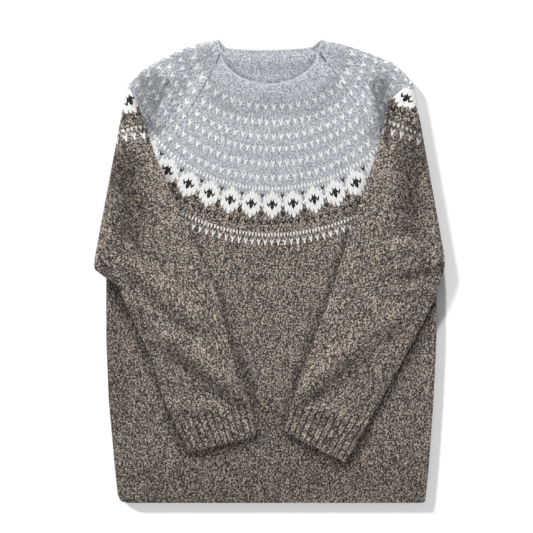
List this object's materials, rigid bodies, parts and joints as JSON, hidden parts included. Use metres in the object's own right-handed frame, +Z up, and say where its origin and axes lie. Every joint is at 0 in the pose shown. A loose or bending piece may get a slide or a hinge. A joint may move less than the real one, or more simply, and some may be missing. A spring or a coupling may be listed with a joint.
{
  "type": "sweater",
  "caption": "Knitted crew-neck sweater with a patterned yoke, raglan sleeves and ribbed cuffs, laid flat with both sleeves folded over the front.",
  "frame": {"origin": "the surface that the sweater lies on, below the middle of its outline", "axes": "+X to the right as seen from above, +Y from the hem to the neck, +Z up out of the front"},
  "size_m": [0.49, 0.6502, 0.0226],
  "materials": {
    "body_knit": "matte heather wool knit, brown body and light grey yoke",
    "sleeve_knit": "matte heather wool knit, brown with a light grey shoulder",
    "rib_knit": "matte heather wool, one by one rib",
    "hem_knit": "matte heather wool knit",
    "neck_knit": "matte light grey heather wool knit"
  },
  "bodies": {
    "root": {"back": "body_knit", "front": "body_knit", "sleeve_left": "sleeve_knit", "sleeve_right": "sleeve_knit", "cuff_left": "rib_knit", "cuff_right": "rib_knit", "hem_front": "hem_knit", "hem_back": "hem_knit", "neckband": "neck_knit"}
  },
  "joints": []
}
